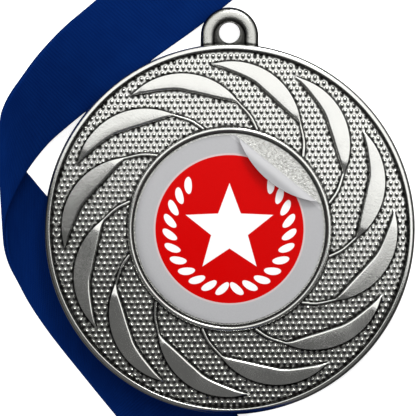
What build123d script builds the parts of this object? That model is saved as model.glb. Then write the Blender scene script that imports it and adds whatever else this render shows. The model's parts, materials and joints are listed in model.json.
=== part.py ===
"""A 50 mm cast award medal with a stuck-on centre label, lying on its folded neck ribbon.

Millimetres, +Z up. The origin is the middle of the round seat in the medal's back.
The medal's face looks up, and its eye points along +Y.
"""

from build123d import *
import os
from math import asin, atan2, cos, degrees, radians, sin, sqrt

os.makedirs("parts", exist_ok=True)

# ---- medal casting ----
MEDAL_DIAMETER = 50.0
MEDAL_THICKNESS = 2.6
BACK_SEAT_DEPTH = 0.4
RIM_WIDTH = 1.0
RIM_RISE = 0.75          # rim top above the pebbled field
RING_WIDTH = 0.75
RING_RISE = 0.65         # ring top above the pebbled field
LABEL_SEAT_DEPTH = 0.15  # label seat below the pebbled field
RING_STEP = 0.07         # ring bead's inner face, beyond the seat's wall
BACK_EDGE_ROUND = 0.5

# ---- blades round the face ----
BLADE_COUNT = 12
BLADE_RISE = 0.4
STEM_WIDTH = 0.55
STEM_RISE = 0.35
# Points are (share of the way from ring to rim, degrees round the face).
BLADE_TIP = (0.843, 96.9)
BLADE_OUTER_MIDDLE = (0.815, 77.5)
BLADE_ROOT = (0.328, 56.3)
BLADE_INNER_EDGE = [(0.638, 83.0), (0.509, 75.4), (0.384, 66.3)]
STEM_MIDDLE = (0.162, 49.6)
STEM_TOP = (0.41, 61.0)   # inside the blade
STEM_FOOT = (-0.03, 44.0)  # inside the ring bead
CAST_ROOT = 0.1           # how far blades and stems run down into the field

# ---- eye ----
EYE_OUTER_RADIUS = 3.9
EYE_ARCH_WIDTH = 1.95
EYE_HOLE_RADIUS = 1.4
EYE_CENTRE_OUT = 1.05    # arch centre beyond the medal's edge
EYE_HOLE_OUT = 1.5       # hole centre beyond the medal's edge
EYE_THICKNESS = 2.0
EYE_WEB_THICKNESS = 1.2
EYE_ROUND = 0.6
EYE_ROOT = 1.3           # how far the eye runs into the medal's edge
EYE_DROP = 0.05          # eye's middle below the casting's middle
CUT_SPARE = 1.0          # cutting shapes run this far past the metal

# ---- centre label ----
LABEL_DIAMETER = 25.4
LABEL_THICKNESS = 0.12
ADHESIVE_THICKNESS = 0.05
ADHESIVE_INSET = 0.1     # adhesive's edge inside the label's edge
LABEL_SEAT_GAP = 0.3     # label's edge to the seat's wall
PEEL_DIRECTION = 50.8    # degrees, the side that has come up
CREASE_SHARE = 10.3 / 12.7
CREASE_RADIUS = 0.15     # to the middle of the label's thickness
CREASE_TURN = 165.0      # how far the flap is folded back
CREASE_GAP = 0.25        # fixed label ends this far before the crease

# ---- ribbon ----
RIBBON_WIDTH = 12.7
RIBBON_LAYER = 0.36
BAND_THICKNESS = 0.75    # two layers lying one on the other
MEDAL_GAP = 0.05         # medal's back to the ribbon under it
ROLL_RADIUS = 9.9
ROLL_GAP = 0.05          # flat band's end to the roll
ROLL_SPREAD = 2.4        # the roll moves out this far for each added mm of medal radius

# ---- clip ----
WIRE_DIAMETER = 1.1
WIRE_CLEARANCE = 0.1     # wire to the sewn loop's bore, all round
CLIP_BAR_SPARE = 1.95    # bar beyond the ribbon at each side, room for the corner's bend
CLIP_REACH = 13.5
CLIP_CORNER = 1.1
CLIP_NOSE = 2.6
WIRE_ENDS = (0.30, 0.38)  # shares of one side, where the wire's two ends meet

# ---- stitches ----
STITCH_LENGTH = 1.5
STITCH_THICKNESS = 0.24
STITCH_ROWS = [2.2, 5.4]  # from the ribbon's end
STITCHES_PER_ROW = 6

# ---- levels and radii that follow ----
R = MEDAL_DIAMETER / 2
BACK = -BACK_SEAT_DEPTH
TOP = BACK + MEDAL_THICKNESS
FIELD = TOP - RIM_RISE
LABEL_FLOOR = FIELD - LABEL_SEAT_DEPTH
LABEL_BOTTOM = LABEL_FLOOR + ADHESIVE_THICKNESS
LABEL_R = LABEL_DIAMETER / 2
SEAT_R = LABEL_R + LABEL_SEAT_GAP
RING_INNER = SEAT_R + RING_STEP
RING_OUTER = RING_INNER + RING_WIDTH
RIM_INNER = R - RIM_WIDTH
TABLE = BACK - MEDAL_GAP - BAND_THICKNESS
EYE_MIDDLE = (BACK + TOP) / 2 - EYE_DROP
LOOP_BORE_RADIUS = WIRE_DIAMETER / 2 + WIRE_CLEARANCE
LOOP_RADIUS = LOOP_BORE_RADIUS + RIBBON_LAYER
CLIP_BAR = RIBBON_WIDTH + 2 * CLIP_BAR_SPARE


def save(shape, node):
    """Writes one node, and prints what it holds."""
    export_step(shape, f"parts/{node}.step")
    box = shape.bounding_box()
    print(node, "solids", len(shape.solids()), "volume", round(shape.volume, 2))
    print("   from", box.min, "to", box.max)


def on_field(share, angle):
    """A point of the pebbled field: share 0 is at the ring and 1 at the rim."""
    radius = RING_OUTER + share * (RIM_INNER - RING_OUTER)
    return Vector(radius * cos(radians(angle)), radius * sin(radians(angle)))


def solid_under(sketch, bottom, top):
    """A flat sketch, made solid between two levels."""
    return extrude(Pos(0, 0, bottom) * sketch, amount=top - bottom)


# ---- medal body ----
def disc():
    """The turned part: back seat, rim bead, field, ring bead and label seat."""
    bead = RIM_WIDTH / 2
    ring_bead = RING_WIDTH / 2
    with BuildLine() as half:
        Polyline((0, 0), (SEAT_R, 0), (SEAT_R, BACK), (R - BACK_EDGE_ROUND, BACK))
        JernArc((R - BACK_EDGE_ROUND, BACK), (1, 0), BACK_EDGE_ROUND, 90)
        Line((R, BACK + BACK_EDGE_ROUND), (R, TOP - bead))
        JernArc((R, TOP - bead), (0, 1), bead, 180)
        Polyline((RIM_INNER, TOP - bead), (RIM_INNER, FIELD), (RING_OUTER, FIELD),
                 (RING_OUTER, FIELD + RING_RISE - ring_bead))
        JernArc((RING_OUTER, FIELD + RING_RISE - ring_bead), (0, 1), ring_bead, 180)
        Polyline((RING_INNER, FIELD + RING_RISE - ring_bead), (RING_INNER, LABEL_FLOOR),
                 (0, LABEL_FLOOR), (0, 0))
    return revolve(Plane.XZ * make_face(half.line), Axis.Z)


def blade():
    """One curved blade and the thin stem that runs from it to the ring."""
    tip = on_field(*BLADE_TIP)
    root = on_field(*BLADE_ROOT)
    outer = ThreePointArc(tip, on_field(*BLADE_OUTER_MIDDLE), root)
    inner = Spline([root] + [on_field(*p) for p in reversed(BLADE_INNER_EDGE)] + [tip])
    leaf = solid_under(make_face(Curve() + [outer, inner]), FIELD - CAST_ROOT, FIELD + BLADE_RISE)
    route = Spline([on_field(*p) for p in (STEM_TOP, BLADE_ROOT, STEM_MIDDLE, STEM_FOOT)])
    stem = solid_under(trace(route, STEM_WIDTH), FIELD - CAST_ROOT, FIELD + STEM_RISE)
    return leaf + stem


def arch(radius, foot):
    """A round-topped outline about the eye's centre, open towards the medal."""
    centre = R + EYE_CENTRE_OUT
    legs = Pos(0, (centre + foot) / 2) * Rectangle(2 * radius, centre - foot)
    return Pos(0, centre) * Circle(radius) + legs


def eye():
    """The rounded arch on the medal's edge, and the thin web with the hole."""
    foot = R - EYE_ROOT
    half = EYE_THICKNESS / 2
    lug = solid_under(arch(EYE_OUTER_RADIUS, foot), EYE_MIDDLE - half, EYE_MIDDLE + half)
    faces = lug.faces().sort_by(Axis.Z)
    rims = faces[0].edges().filter_by(GeomType.CIRCLE) + faces[-1].edges().filter_by(GeomType.CIRCLE)
    lug = fillet(rims, EYE_ROUND)
    inside = arch(EYE_OUTER_RADIUS - EYE_ARCH_WIDTH, foot)
    lug -= solid_under(inside, EYE_MIDDLE - half - CUT_SPARE, EYE_MIDDLE + half + CUT_SPARE)
    web_half = EYE_WEB_THICKNESS / 2
    web = solid_under(inside, EYE_MIDDLE - web_half, EYE_MIDDLE + web_half)
    hole = Pos(0, R + EYE_HOLE_OUT, EYE_MIDDLE) * Cylinder(EYE_HOLE_RADIUS, EYE_THICKNESS + CUT_SPARE)
    return lug + web - hole


def medal_body():
    body = disc()
    one = blade()
    for turn in range(BLADE_COUNT):
        body += Rot(0, 0, -turn * 360 / BLADE_COUNT) * one
    inside_rim = Cylinder(RIM_INNER, 4 * MEDAL_THICKNESS)
    return body + (eye() - inside_rim)


# ---- label ----
CREASE_AT = CREASE_SHARE * LABEL_R
CREASE_LEVEL = LABEL_BOTTOM + LABEL_THICKNESS / 2 + CREASE_RADIUS
CREASE_ARC = CREASE_RADIUS * radians(CREASE_TURN)


def peel_side(near, far):
    """A block over the part of the seat between two distances along the peel direction."""
    block = Pos((near + far) / 2, 0) * Rectangle(far - near, 4 * LABEL_R)
    return Rot(0, 0, PEEL_DIRECTION) * block


def stuck(radius, bottom, thickness):
    """The part of a label layer that is still stuck down."""
    outline = Circle(radius) - peel_side(CREASE_AT - CREASE_GAP, 2 * LABEL_R)
    return solid_under(outline, bottom, bottom + thickness)


def label_flap():
    """The peeled tongue: a tight bend at the crease, then a flat tip lying back over the label."""
    half_chord = sqrt(LABEL_R**2 - (CREASE_AT + CREASE_ARC) ** 2)
    half = LABEL_THICKNESS / 2
    ring = Circle(CREASE_RADIUS + half) - Circle(CREASE_RADIUS - half)
    turned_end = Vector(0, -1).rotate(Axis.Z, CREASE_TURN)
    wedge = Polygon((0, 0), (0, -1), (2, -1), (2, 1), turned_end, align=None)
    bend = extrude(Plane.XZ * (ring & wedge), amount=half_chord, both=True)
    bend = Pos(CREASE_AT, 0, CREASE_LEVEL) * bend
    beyond = Pos(CREASE_AT + CREASE_ARC + LABEL_R, 0) * Rectangle(2 * LABEL_R, 2 * LABEL_R)
    rest = Circle(LABEL_R) & beyond
    tip = solid_under(Pos(-CREASE_ARC, 0) * rest, LABEL_BOTTOM, LABEL_BOTTOM + LABEL_THICKNESS)
    axis = Axis((CREASE_AT, 0, CREASE_LEVEL), (0, -1, 0))
    tip = tip.rotate(axis, CREASE_TURN)
    return Rot(0, 0, PEEL_DIRECTION) * (bend + tip)


# ---- ribbon ----
# The band's route for a 50 mm medal: each line is one straight crossing of the band, as the
# far edge (x, y, height) and the near edge (x, y, height), height above the flat band's middle.
CROSSINGS = [
    ((4.4, 50.0, 0.0), (12.0, 39.8, 0.0)),
    ((-0.6, 45.7, 0.0), (7.2, 36.2, 0.0)),
    ((-3.9, 42.9, 0.0), (4.0, 33.8, 0.0)),
    ((-12.3, 35.8, 0.8), (-3.9, 27.6, 0.0)),
    ((-18.6, 30.4, 2.2), (-10.2, 23.1, 0.0)),
    ((-22.4, 27.0, 4.0), (-14.7, 19.6, 0.0)),
    ((-25.6, 23.4, 5.9), (-18.5, 16.75, 0.1)),
    ((-27.9, 20.2, 7.1), (-22.0, 13.9, 1.6)),
    ((-29.4, 18.0, 7.5), (-24.8, 11.3, 2.9)),
    ((-30.4, 16.0, 7.2), (-27.4, 7.8, 3.8)),
    ((-30.9, 14.4, 6.3), (-29.3, 3.9, 3.8)),
    ((-31.05, 12.9, 5.1), (-30.1, 0.8, 3.0)),
    ((-30.9, 11.6, 3.8), (-30.2, -2.0, 2.0)),
    ((-30.2, 10.4, 2.4), (-29.7, -4.6, 1.2)),
    ((-28.9, 9.2, 1.1), (-28.5, -7.2, 0.55)),
    ((-27.0, 7.2, 0.3), (-26.9, -10.3, 0.15)),
    ((-24.7, 4.5, 0.0), (-24.2, -14.3, 0.0)),
    ((-17.0, -4.3, 0.0), (-19.5, -20.2, 0.0)),
    ((-5.9, -16.9, 0.0), (-15.4, -25.2, 0.0)),
]
ROUTE_RADIUS = 25.0
ROLL_CENTRE = (3.7, -38.0)
ROLL_HEADING = -49.6     # degrees, the way the band runs into the roll
SPREAD = R - ROUTE_RADIUS
MIDDLE = TABLE + BAND_THICKNESS / 2
SEWN_FAR, SEWN_NEAR = CROSSINGS[0]
SEWN_HEADING = degrees(atan2(SEWN_NEAR[0] - SEWN_FAR[0], SEWN_FAR[1] - SEWN_NEAR[1]))


def placed(point):
    """A route point moved with the medal's edge, at its level above the table."""
    x, y, height = point
    return Vector(x - SPREAD, y + SPREAD / 2, MIDDLE + height)


def roll_centre():
    heading = radians(ROLL_HEADING)
    along = ROLL_SPREAD * SPREAD
    x = ROLL_CENTRE[0] - SPREAD + along * cos(heading)
    y = ROLL_CENTRE[1] + SPREAD / 2 + along * sin(heading)
    return Vector(x, y, TABLE + ROLL_RADIUS)


def smooth(before, start, end, after, t):
    """A point on the smooth curve through four points, t of the way from start to end."""
    a = 2 * start
    b = end - before
    c = 2 * before - 5 * start + 4 * end - after
    d = 3 * start - before - 3 * end + after
    return (a + b * t + c * t * t + d * t * t * t) * 0.5


def crossings():
    """All crossings of the band, with the last one short of the roll's lowest line."""
    found = [(placed(far), placed(near)) for far, near in CROSSINGS]
    heading = radians(ROLL_HEADING)
    short = sqrt(ROLL_RADIUS**2 - (ROLL_RADIUS - BAND_THICKNESS) ** 2) + ROLL_GAP
    centre = roll_centre()
    end = Vector(centre.X - short * cos(heading), centre.Y - short * sin(heading), MIDDLE)
    across = Vector(-sin(heading), cos(heading)) * (RIBBON_WIDTH / 2)
    return found + [(end + across, end - across)]


def grid(rows_between=3, columns=3):
    """Rows of points over the whole band, each row from its far edge to its near edge."""
    lines = crossings()
    lines = [lines[0]] + lines + [lines[-1]]
    rows = []
    for k in range(1, len(lines) - 2):
        steps = rows_between + 1 if k == len(lines) - 3 else rows_between
        for step in range(steps):
            t = step / rows_between
            far = smooth(*[line[0] for line in lines[k - 1:k + 3]], t)
            near = smooth(*[line[1] for line in lines[k - 1:k + 3]], t)
            rows.append([far + (near - far) * (c / columns) for c in range(columns + 1)])
    return rows


def shifted(rows, distance):
    """The grid moved along its own normals."""
    moved = []
    for i, row in enumerate(rows):
        before = rows[max(i - 1, 0)]
        after = rows[min(i + 1, len(rows) - 1)]
        line = []
        for j, point in enumerate(row):
            along = after[j] - before[j]
            across = row[min(j + 1, len(row) - 1)] - row[max(j - 1, 0)]
            line.append(point + across.cross(along).normalized() * distance)
        moved.append(line)
    return moved


def skin(rows):
    """Triangles over a grid of points."""
    found = []
    for upper, lower in zip(rows, rows[1:]):
        for j in range(len(upper) - 1):
            found.append((upper[j], upper[j + 1], lower[j + 1]))
            found.append((upper[j], lower[j + 1], lower[j]))
    return found


def band():
    """The doubled ribbon as one closed solid of flat facets."""
    rows = grid()
    high = shifted(rows, BAND_THICKNESS / 2)
    low = shifted(rows, -BAND_THICKNESS / 2)
    triangles = skin(high) + skin(low)
    triangles += skin([[row[0] for row in high], [row[0] for row in low]])
    triangles += skin([[row[-1] for row in high], [row[-1] for row in low]])
    triangles += skin([high[0], low[0]]) + skin([high[-1], low[-1]])
    faces = [Face(Wire.make_polygon(corners)) for corners in triangles]
    return Solid(Shell(faces))


def at_sewn_end():
    """A plane at the middle of the ribbon's sewn end: x runs out of the ribbon, y along the clip's bar."""
    far, near = crossings()[0]
    middle = (far + near) * 0.5
    out = Vector(cos(radians(SEWN_HEADING)), sin(radians(SEWN_HEADING)))
    return Plane(Vector(middle.X, middle.Y, TABLE), x_dir=out, z_dir=(0, 0, 1))


def neck_ribbon():
    """The band, and the small sewn loop at its end that the clip's bar lies in."""
    end = at_sewn_end()
    around = Pos(LOOP_RADIUS, 0, LOOP_RADIUS) * Rot(90, 0, 0) * Cylinder(LOOP_RADIUS, RIBBON_WIDTH)
    bore = Pos(LOOP_RADIUS, 0, LOOP_RADIUS) * Rot(90, 0, 0) * Cylinder(LOOP_BORE_RADIUS, 2 * RIBBON_WIDTH)
    root = Pos(LOOP_RADIUS / 2, 0, BAND_THICKNESS / 2) * Box(LOOP_RADIUS, RIBBON_WIDTH, BAND_THICKNESS)
    sewn_loop = end.location * (around + root - bore)
    return band() + sewn_loop


def ribbon_roll():
    centre = roll_centre()
    roll = Cylinder(ROLL_RADIUS, RIBBON_WIDTH)
    return Pos(centre) * Rot(0, 0, ROLL_HEADING) * Rot(90, 0, 0) * roll


def seam_stitching():
    """Two rows of short stitches that hold the sewn end, on the ribbon's upper face."""
    end = at_sewn_end()
    pitch = RIBBON_WIDTH / STITCHES_PER_ROW
    level = BAND_THICKNESS + STITCH_THICKNESS / 2
    stitches = []
    for row in STITCH_ROWS:
        for k in range(STITCHES_PER_ROW):
            y = (k + 0.5) * pitch - RIBBON_WIDTH / 2
            bar = Box(STITCH_THICKNESS, STITCH_LENGTH, STITCH_THICKNESS)
            stitches.append(end.location * Pos(-row, y, level) * bar)
    return Compound(children=stitches)


# ---- clip ----
def ribbon_clip():
    """A triangle of bent spring wire: its bar lies in the sewn loop, and its nose takes the eye."""
    wire = WIRE_DIAMETER / 2
    droop = degrees(asin((LOOP_RADIUS - wire) / CLIP_REACH))
    corner_a = Vector(0, -CLIP_BAR / 2)
    corner_b = Vector(0, CLIP_BAR / 2)
    nose = Vector(CLIP_REACH + CLIP_NOSE, 0)
    start = corner_a + (nose - corner_a) * WIRE_ENDS[0]
    end = corner_a + (nose - corner_a) * WIRE_ENDS[1]
    bends = [CLIP_CORNER, CLIP_CORNER, CLIP_NOSE]
    route = FilletPolyline(start, corner_a, corner_b, nose, end, radius=bends)
    section = Plane(route @ 0, z_dir=route % 0) * Circle(wire)
    clip = sweep(section, path=route)
    place = at_sewn_end().location * Pos(LOOP_RADIUS, 0, LOOP_RADIUS) * Rot(0, droop, 0)
    return place * clip


save(medal_body(), "medal_body")
save(stuck(LABEL_R - ADHESIVE_INSET, LABEL_FLOOR, ADHESIVE_THICKNESS), "label_adhesive")
save(stuck(LABEL_R, LABEL_BOTTOM, LABEL_THICKNESS), "centre_label")
save(label_flap(), "label_flap")
save(neck_ribbon(), "neck_ribbon")
save(ribbon_roll(), "ribbon_roll")
save(seam_stitching(), "seam_stitching")
save(ribbon_clip(), "ribbon_clip")

hinge = Vector(CREASE_AT, 0, CREASE_LEVEL).rotate(Axis.Z, PEEL_DIRECTION)
bar = at_sewn_end().from_local_coords(Vector(LOOP_RADIUS, 0, LOOP_RADIUS))
print("eye bore at", (0, R + EYE_HOLE_OUT, EYE_MIDDLE), "radius", EYE_HOLE_RADIUS)
print("crease at", hinge, "level of table", TABLE)
print("clip bar at", bar, "heading", SEWN_HEADING)
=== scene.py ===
# %% [markdown]
# # A cast award medal lying on its neck ribbon
# The medal is one zinc casting with an antique silver finish. Its face has a pebbled field, twelve
# curved blades, a raised ring round a stuck-on label, and an eye at the top for the ribbon's clip.
# A navy ribbon lies under it, folded double and rolled up at its far end.
# Everything here is made in metres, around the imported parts, so each piece is already in its place.

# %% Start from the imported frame
import bmesh
import bpy
import json
import numpy as np
from math import asin, atan2, cos, hypot, pi, radians, sin, sqrt
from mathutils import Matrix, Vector
from mathutils.geometry import delaunay_2d_cdt

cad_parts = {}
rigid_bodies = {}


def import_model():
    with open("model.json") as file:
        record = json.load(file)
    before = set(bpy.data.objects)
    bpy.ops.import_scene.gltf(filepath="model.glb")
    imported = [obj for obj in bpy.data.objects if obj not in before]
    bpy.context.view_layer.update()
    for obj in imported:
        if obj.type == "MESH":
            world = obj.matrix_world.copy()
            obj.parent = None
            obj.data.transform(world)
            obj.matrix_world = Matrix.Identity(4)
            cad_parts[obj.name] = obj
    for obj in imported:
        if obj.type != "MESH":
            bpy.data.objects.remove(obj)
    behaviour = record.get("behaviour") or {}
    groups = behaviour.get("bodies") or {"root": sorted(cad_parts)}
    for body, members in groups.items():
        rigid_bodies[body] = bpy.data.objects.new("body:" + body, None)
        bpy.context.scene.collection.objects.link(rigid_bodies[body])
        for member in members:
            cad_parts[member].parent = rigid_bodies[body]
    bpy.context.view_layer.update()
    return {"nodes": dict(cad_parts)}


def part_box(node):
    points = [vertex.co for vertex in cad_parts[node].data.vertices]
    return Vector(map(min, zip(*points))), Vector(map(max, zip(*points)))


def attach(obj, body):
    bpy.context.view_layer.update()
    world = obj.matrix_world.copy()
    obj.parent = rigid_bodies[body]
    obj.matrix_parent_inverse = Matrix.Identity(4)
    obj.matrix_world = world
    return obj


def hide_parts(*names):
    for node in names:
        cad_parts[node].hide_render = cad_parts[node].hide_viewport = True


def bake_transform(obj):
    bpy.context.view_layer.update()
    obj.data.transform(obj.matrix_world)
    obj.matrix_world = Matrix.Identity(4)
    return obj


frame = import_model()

MM = 0.001

# %% [markdown]
# ## Sizes
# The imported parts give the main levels, so the new pieces can't drift away from them. The smaller
# sizes are the maker's own: how far the rim, the ring and the blades stand above the pebbled field.

# %% Read the medal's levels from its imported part
RELIEF_DEPTH = 0.75      # the field lies this far below the rim's crest
SEAT_DEPTH = 0.15        # and the label's seat this far below the field
RIM_WIDTH = 1.0
RIBBON_ROOM = 0.8        # from the table up to the medal's back
medal_low, medal_high = [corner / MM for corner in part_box("medal_body")]
R = medal_high.x
BACK = medal_low.z
TOP = medal_high.z
FIELD = TOP - RELIEF_DEPTH
RING_INNER, RING_OUTER = 13.07, 13.82
RIM_INNER = R - RIM_WIDTH
LABEL_R = 12.7
LABEL_FLOOR = FIELD - SEAT_DEPTH
TABLE = BACK - RIBBON_ROOM
print("medal radius", round(R, 2), "top", round(TOP, 2), "field", round(FIELD, 2), "table", round(TABLE, 2))

# %% [markdown]
# ## From lists of points to a piece
# Most pieces are written as points in millimetres and faces over them. One helper turns those into a
# Blender mesh in metres, shades it smooth, and keeps the edges that are really sharp.

# %% A helper that makes a mesh piece
def make_piece(name, points, faces, body, slot, replaced=(), sharp=50.0):
    mesh = bpy.data.meshes.new(name)
    mesh.from_pydata([tuple(c * MM for c in p) for p in points], [], faces)
    mesh.validate()
    tidy = bmesh.new()
    tidy.from_mesh(mesh)
    bmesh.ops.recalc_face_normals(tidy, faces=tidy.faces)
    open_edges = sum(1 for edge in tidy.edges if len(edge.link_faces) != 2)
    tidy.to_mesh(mesh)
    tidy.free()
    mesh.shade_smooth()
    mesh.set_sharp_from_angle(angle=radians(sharp))
    piece = bpy.data.objects.new(name, mesh)
    bpy.context.scene.collection.objects.link(piece)
    if body:
        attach(piece, body)
    if replaced:
        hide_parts(*replaced)
    print(name, "faces", len(mesh.polygons), "open edges", open_edges)
    return piece


def smooth_line(points, steps=8):
    """A Catmull-Rom curve: it passes through every point, and its direction never jumps."""
    p = np.array(points, float)
    p = np.vstack([2 * p[0] - p[1], p, 2 * p[-1] - p[-2]])
    line = []
    for i in range(1, len(p) - 2):
        for t in np.arange(steps) / steps:
            a, b = 2 * p[i], p[i + 1] - p[i - 1]
            c = 2 * p[i - 1] - 5 * p[i] + 4 * p[i + 1] - p[i + 2]
            d = 3 * p[i] - p[i - 1] - 3 * p[i + 1] + p[i + 2]
            line.append((a + b * t + c * t**2 + d * t**3) / 2)
    return np.array(line + [p[-2]])


def evenly(line, count):
    """The same line, with its points spaced evenly along it."""
    length = np.concatenate([[0], np.cumsum(np.linalg.norm(np.diff(line, axis=0), axis=1))])
    wanted = np.linspace(0, length[-1], count)
    return np.stack([np.interp(wanted, length, line[:, k]) for k in range(line.shape[1])], axis=1)


# %% [markdown]
# ## The medal's face is a relief
# A cast medal has no undercuts, because it has to leave its mould. So its whole face can be written
# as heights over a flat plan, as a die cutter thinks of it. The plan is a set of lines that no triangle
# may cross, such as a blade's edge, with a height at each point. A Delaunay triangulation then fills
# the plan. This keeps every edge crisp, which displacing a grid wouldn't.

# %% A relief: points with heights, and lines between them
MERGE = 1e-5             # points of the plan nearer than this are one


class Relief:
    def __init__(self):
        self.points = []
        self.dark = []
        self.lines = []

    def add(self, line, joined=True, closed=False, dark=0.0):
        first = len(self.points)
        self.points += [tuple(map(float, p)) for p in line]
        self.dark += list(np.broadcast_to(dark, len(line)))
        ids = list(range(first, len(self.points)))
        if joined:
            self.lines += list(zip(ids, ids[1:]))
        if closed:
            self.lines.append((ids[-1], ids[0]))
        return ids

    def filled(self, keep):
        """Corners, triangles, where each added point ended up, and how dark each corner is."""
        flat = [Vector(p[:2]) for p in self.points]
        corners, _, faces, origins, _, _ = delaunay_2d_cdt(flat, self.lines, [], 0, MERGE)
        heights = [self.points[o[0]][2] if o else FIELD for o in origins]
        solid = [(c.x, c.y, z) for c, z in zip(corners, heights)]
        place = {o: k for k, found in enumerate(origins) for o in found}
        plan = np.array([s[:2] for s in solid])
        middles = plan[np.array(faces)].mean(axis=1)
        dark = [max([self.dark[k] for k in o], default=0.0) for o in origins]
        return solid, [f for f, inside in zip(faces, keep(middles)) if inside], place, dark


def circle(radius, height, count, centre=(0, 0), turn=0.0):
    angles = turn + np.arange(count) * 2 * pi / count
    return [(centre[0] + radius * cos(a), centre[1] + radius * sin(a), height) for a in angles]


# %% [markdown]
# ## Pips
# The field is covered by small domes in straight rows, each row shifted by half a step, like a hammered
# or pebbled die. Each dome is rings of points round its middle. Points too near a blade, the ring or the
# rim are left out, so whatever stands there cuts the dome off and keeps a clean dark line at its foot.
# Each point also says how dark it is, which the finish reads later: the antique dark where a dome sinks to
# the field, and painted shade on each dome's lower side.

# %% Lay out the pips
PIP_STEP = 0.807
PIP_ROW = 0.754
PIP_RADIUS = 0.31
PIP_RISE = 0.31
PIP_TURN = radians(0.5)
PIP_RINGS = [(1.0, 12), (0.86, 10), (0.5, 6), (0.0, 1)]
PIP_SHADE = [0.8, 1.6, 1.6, 0.0]     # painted shade: extra dark on each ring's lower side, to deepen the shade there
PIP_CUT_DARK = 0.5       # dark kept where a pip sinks to the field
PIP_CLEAR = 0.10         # pips are cut off this far from whatever stands beside them
PIP_SLOPE = 0.16         # and sink to the field over this much beyond it


def pip_middles():
    rows = int(R / PIP_ROW) + 1
    middles = [((i + 0.5 * (j % 2)) * PIP_STEP, j * PIP_ROW) for j in range(-rows, rows + 1)
               for i in range(-rows - 3, rows + 3)]
    m = np.array(middles)
    turned = np.stack([m[:, 0] * cos(PIP_TURN) - m[:, 1] * sin(PIP_TURN),
                       m[:, 0] * sin(PIP_TURN) + m[:, 1] * cos(PIP_TURN)], axis=1)
    reach = np.hypot(turned[:, 0], turned[:, 1])
    return turned[(reach > RING_OUTER - PIP_RADIUS) & (reach < RIM_INNER + PIP_RADIUS)]


PIPS = pip_middles()


def dome(share):
    """Height of a pip at a share of its radius from its middle."""
    return PIP_RISE * sqrt(max(0.0, 1 - share**2))


print("pips", len(PIPS))

# %% [markdown]
# ## Blades
# Each blade is a curved leaf: a long round outer edge, a nearly straight inner edge with a wide
# bevel, and a thin stem that runs down to the ring. Leaf and stem are one strip between two lines,
# the left and the right edge, from the ring to the tip. Crossing the strip, the height rises from
# the field, over the bevel or the ridge, and drops again. The twelve are turned copies.

# %% Draw one blade and its stem
BLADES = 12
BLADE_RISE = 0.48
STEM_HALF = 0.275
STEM_HALF_AT_ROOT = 0.17
BEVEL = 0.34
BEVEL_FOOT = 0.30
TIP = (0.843, 96.9)
OUTER_MIDDLE = (0.815, 77.5)
ROOT = (0.328, 56.3)
INNER_EDGE = [(0.384, 66.3), (0.509, 75.4), (0.638, 83.0)]
STEM_MIDDLE = (0.162, 49.6)
STEM_FOOT = (0.0, 44.3)
ALONG_STEM = 20
ALONG_LEAF = 44
ROW_DARK = [1.0, 0.6, 0.0, 0.0, 0.0, 0.0, 0.3, 1.0]


def on_field(share, angle):
    radius = RING_OUTER + share * (RIM_INNER - RING_OUTER)
    return np.array([radius * cos(radians(angle)), radius * sin(radians(angle))])


def arc_through(a, b, c, count):
    """Points on the circle through three points, from a to c."""
    ab, ac = b - a, c - a
    d = 2 * (ab[0] * ac[1] - ab[1] * ac[0])
    u = (ac[1] * (ab @ ab) - ab[1] * (ac @ ac)) / d
    v = (ab[0] * (ac @ ac) - ac[0] * (ab @ ab)) / d
    centre = a + np.array([u, v])
    start, end = [atan2(*(p - centre)[::-1]) for p in (a, c)]
    while end < start:
        end += 2 * pi
    angles = np.linspace(start, end, count)
    return centre + hypot(u, v) * np.stack([np.cos(angles), np.sin(angles)], axis=1)


def blade_edges():
    foot, middle, root, tip = [on_field(*p) for p in (STEM_FOOT, STEM_MIDDLE, ROOT, TIP)]
    stem = smooth_line([foot, middle, root], 6)
    ahead = np.gradient(stem, axis=0)
    ahead /= np.linalg.norm(ahead, axis=1)[:, None]
    half = np.linspace(STEM_HALF, STEM_HALF_AT_ROOT, len(stem))[:, None]
    side = np.stack([-ahead[:, 1], ahead[:, 0]], axis=1) * half
    stem_left, stem_right = stem + side, stem - side
    inner = smooth_line([stem_left[-1]] + [on_field(*p) for p in INNER_EDGE] + [tip])
    outer = arc_through(stem_right[-1], on_field(*OUTER_MIDDLE), tip, ALONG_LEAF)
    left = np.vstack([evenly(stem_left, ALONG_STEM), evenly(inner, ALONG_LEAF)[1:]])
    right = np.vstack([evenly(stem_right, ALONG_STEM), evenly(outer, ALONG_LEAF)[1:]])
    return left, right


BLADE_LEFT, BLADE_RIGHT = blade_edges()
print("blade widths", [round(float(w), 2) for w in np.linalg.norm(BLADE_LEFT - BLADE_RIGHT, axis=1)[::6]])


# %% The rows of points that run along a blade
SLIVER = 0.02            # the rows end where the blade is narrower than this
LEAF_OVER = 0.8          # the stem's section becomes the leaf's over this much more width
TIP_SINKS = 0.5          # narrower than this, the section sinks towards the tip
WALL_WIDTH = 0.11        # the walls lean this much, or a share of a narrow blade
OUTER_ROUND = 0.12
CREST = 0.10             # the flat crest beside the bevel
STEM_HEIGHTS = [0, 0.20, 0.31, 0.33, 0.34, 0.30, 0.18, 0]
LEAF_HEIGHTS = [0, BEVEL_FOOT] + [BLADE_RISE + more for more in (0, 0.01, 0.01, 0, -0.05)] + [0]


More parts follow.
